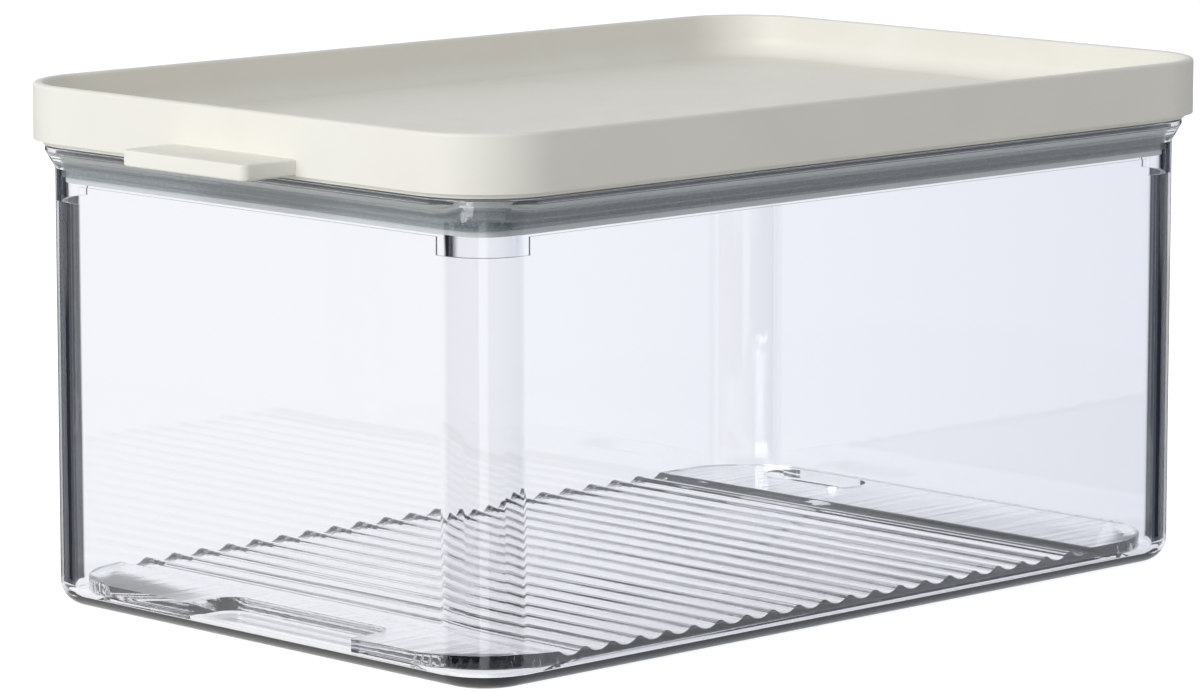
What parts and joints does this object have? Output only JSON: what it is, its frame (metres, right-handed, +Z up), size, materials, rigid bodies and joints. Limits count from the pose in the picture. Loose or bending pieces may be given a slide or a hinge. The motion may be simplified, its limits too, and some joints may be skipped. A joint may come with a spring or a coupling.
{
  "type": "cheese storage container",
  "caption": "Clear rectangular fridge box for cheese: off-white press-on lid with an opening tab and a stacking recess, a sealing ring inside, and a loose ribbed tray on the base",
  "frame": {"origin": "under the middle of the box, on the flat face that it stands on", "axes": "+Z up; +X along the long side of the box, with the opening tab of the lid pointing to -X; +Y across the box"},
  "size_m": [0.239, 0.15, 0.1117],
  "materials": {
    "clear_plastic": "clear moulded styrene acrylonitrile, polished",
    "lid_plastic": "off-white moulded polypropylene, fine satin",
    "seal_silicone": "milky soft silicone",
    "tray_plastic": "clear moulded plastic, ribbed"
  },
  "bodies": {
    "root": {"box": "clear_plastic", "lid": "lid_plastic", "seal": "seal_silicone", "tray": "tray_plastic"}
  },
  "joints": []
}
